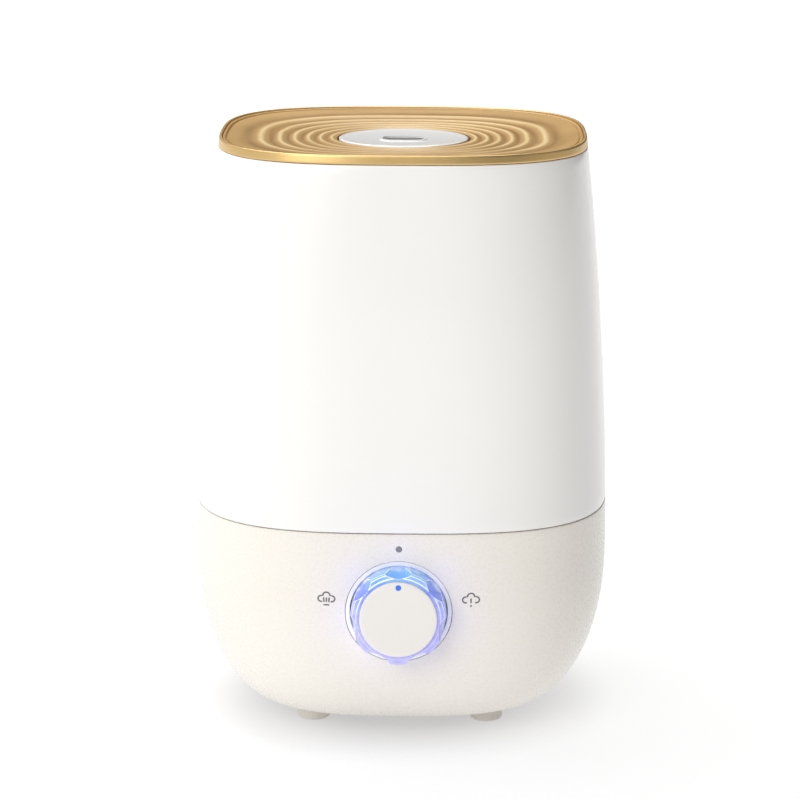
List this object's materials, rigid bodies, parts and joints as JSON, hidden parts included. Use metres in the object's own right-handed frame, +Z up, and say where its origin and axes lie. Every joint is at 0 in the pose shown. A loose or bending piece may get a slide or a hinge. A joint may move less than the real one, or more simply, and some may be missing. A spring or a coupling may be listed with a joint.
{
  "type": "cool mist humidifier",
  "caption": "Rounded-square ultrasonic humidifier: base with front knob, lift-off water tank, rippled amber lid with a gold band and a turning slotted nozzle.",
  "frame": {"origin": "on the floor, at the middle of the whole footprint, knob included; the body axis stands 6.4 mm behind it", "axes": "+Z up, -Y is the front with the knob, +X is to the right seen from the front"},
  "size_m": [0.21, 0.2214, 0.2963],
  "materials": {
    "white_shell": "moulded ABS, satin gloss",
    "white_tank": "moulded ABS, satin gloss",
    "inner_white": "moulded ABS, fine matt",
    "gold_band": "ABS with gold-coloured plating",
    "amber_cover": "amber PMMA, rippled, polished",
    "nozzle_white": "moulded ABS, gloss",
    "bezel_white": "moulded ABS, gloss",
    "clear_ring": "clear PMMA lit from behind",
    "knob_cream": "moulded ABS, fine matt",
    "dot_blue": "tinted PMMA",
    "lens_grey": "smoked PMMA",
    "foot_rubber": "off-white silicone rubber",
    "seal_rubber": "translucent silicone",
    "steel_screw": "zinc plated",
    "disc_metal": "nickel plated piezo disc",
    "clamp_alu": "machined",
    "circuit_board": "green solder mask on glass-epoxy",
    "capacitor_sleeve": "dark shrink sleeve",
    "ferrite": "wound ferrite",
    "heat_sink_alu": "black anodised",
    "fan_black": "glass-filled PBT",
    "stator_copper": "enamelled copper on laminated iron",
    "float_foam": "hollow polypropylene",
    "magnet": "sintered ferrite",
    "reed_glass": "clear",
    "led_blue": "epoxy, lit",
    "pot_metal": "pressed steel",
    "brass_nut": "nickel-free brass",
    "inlet_black": "moulded PBT",
    "tube_white": "extruded ABS",
    "valve_blue": "moulded POM",
    "spring_steel": "stainless wire"
  },
  "bodies": {
    "base": {"base_shell": "white_shell", "bottom_plate": "inner_white", "plate_screws": "steel_screw", "foot_front_left": "foot_rubber", "foot_front_right": "foot_rubber", "foot_rear_left": "foot_rubber", "foot_rear_right": "foot_rubber", "basin_deck": "inner_white", "deck_gasket": "seal_rubber", "case_screws": "steel_screw", "transducer_disc": "disc_metal", "transducer_seal": "seal_rubber", "transducer_clamp": "clamp_alu", "clamp_screws": "steel_screw", "driver_board": "circuit_board", "board_screws": "steel_screw", "capacitors": "capacitor_sleeve", "coil": "ferrite", "heat_sink": "heat_sink_alu", "fan_housing": "fan_black", "fan_stator": "stator_copper", "fan_screws": "steel_screw", "air_duct": "inner_white", "float_cap": "inner_white", "reed_switch": "reed_glass", "knob_bezel": "bezel_white", "bezel_screws": "steel_screw", "led_board": "circuit_board", "blue_leds": "led_blue", "potentiometer": "pot_metal", "pot_nut": "brass_nut", "indicator_lens": "lens_grey", "indicator_led": "led_blue", "dc_inlet": "inlet_black"},
    "knob": {"pot_shaft": "pot_metal", "knob_core": "inner_white", "knob_ring": "clear_ring", "knob_cap": "knob_cream", "knob_dot": "dot_blue"},
    "fan": {"fan_rotor": "fan_black", "fan_shaft": "steel_screw"},
    "float": {"float_ring": "float_foam", "float_magnet": "magnet"},
    "tank": {"tank_shell": "white_tank", "tank_floor": "inner_white", "mist_tube": "tube_white", "tube_seal": "seal_rubber", "tube_nut": "inner_white", "valve_cap": "inner_white", "valve_spring": "spring_steel"},
    "valve": {"valve_stem": "valve_blue", "valve_seal": "seal_rubber"},
    "lid": {"lid_band": "gold_band", "lid_cover": "amber_cover", "lid_frame": "inner_white", "lid_seal": "seal_rubber"},
    "nozzle": {"nozzle_disc": "nozzle_white", "splash_guard": "inner_white"}
  },
  "joints": [
    {"name": "tank_lift", "type": "slide", "parent": "base", "child": "tank", "axis": [0, 0, 1], "range_m": [0, 0.15]},
    {"name": "lid_lift", "type": "slide", "parent": "tank", "child": "lid", "axis": [0, 0, 1], "range_m": [0, 0.06]},
    {"name": "nozzle_turn", "type": "hinge", "parent": "lid", "child": "nozzle", "pos_m": [0, 0.00573, 0.29], "axis": [0, 0, 1], "continuous": true},
    {"name": "knob_turn", "type": "hinge", "parent": "base", "child": "knob", "pos_m": [0, -0.09872, 0.0728], "axis": [0, 1, 0], "range_deg": [0, 280]},
    {"name": "fan_spin", "type": "hinge", "parent": "base", "child": "fan", "pos_m": [0.038, 0.00573, 0.037], "axis": [0, 0, 1], "continuous": true},
    {"name": "float_rise", "type": "slide", "parent": "base", "child": "float", "axis": [0, 0, 1], "range_m": [0, 0.009]},
    {"name": "valve_close", "type": "slide", "parent": "tank", "child": "valve", "axis": [0, 0, 1], "range_m": [-0.003, 0], "deforming": ["valve_spring"]}
  ],
  "couplings": [
    {"joint": "valve_close", "follows": "tank_lift", "ratio": -0.02}
  ]
}
